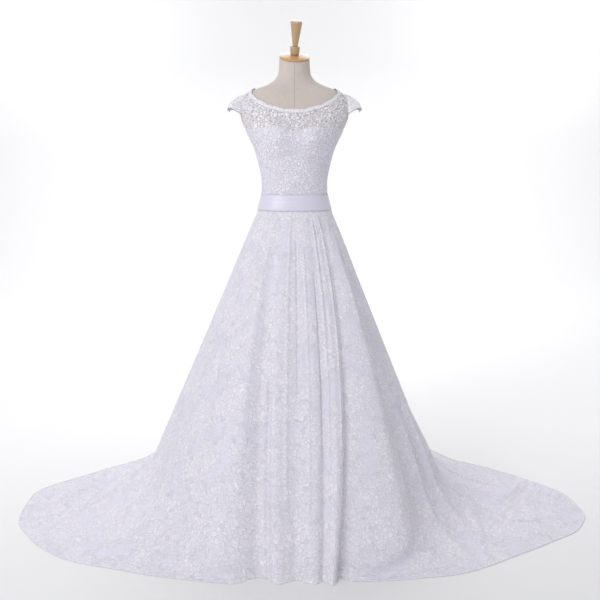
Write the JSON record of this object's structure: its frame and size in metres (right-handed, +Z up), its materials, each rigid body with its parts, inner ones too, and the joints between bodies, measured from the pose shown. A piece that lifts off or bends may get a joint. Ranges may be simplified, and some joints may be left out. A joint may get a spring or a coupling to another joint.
{
  "type": "wedding dress on a limbless dress form",
  "caption": "A-line floral lace wedding dress with cap sleeves, satin belt and floor train, worn by a linen dress form with a wooden finial.",
  "frame": {"origin": "centre of the stand base's underside, on the floor", "axes": "+Z up; the dress faces -Y; +X is on the right of a front view, along the widest reach of the train"},
  "size_m": [2.0443, 1.3778, 1.7872],
  "materials": {
    "lace": "white floral lace with matt raised flowers on net",
    "satin": "smooth satin with a soft sheen",
    "linen": "plain-woven matt linen",
    "wood": "clear-varnished light wood",
    "painted_steel": "satin grey powder coat"
  },
  "bodies": {
    "root": {"bodice_lace_front": "lace", "bodice_lace_back_right": "lace", "bodice_lace_back_left": "lace", "neck_trim_front": "lace", "neck_trim_back_right": "lace", "neck_trim_back_left": "lace", "cap_sleeve_left": "lace", "cap_sleeve_right": "lace", "back_placket": "lace", "skirt_lace_front": "lace", "skirt_lace_side_right": "lace", "skirt_lace_back_right": "lace", "skirt_lace_back_left": "lace", "skirt_lace_side_left": "lace", "bodice_lining_front": "satin", "bodice_lining_back_right": "satin", "bodice_lining_back_left": "satin", "belt": "satin", "belt_end": "satin", "skirt_lining_front": "satin", "skirt_lining_back_right": "satin", "skirt_lining_back_left": "satin", "button_01": "satin", "button_02": "satin", "button_03": "satin", "button_04": "satin", "button_05": "satin", "button_06": "satin", "button_07": "satin", "button_08": "satin", "button_09": "satin", "form_torso": "linen", "neck_cap": "wood", "collar": "wood", "finial": "wood", "base": "painted_steel", "pole": "painted_steel"}
  },
  "joints": []
}
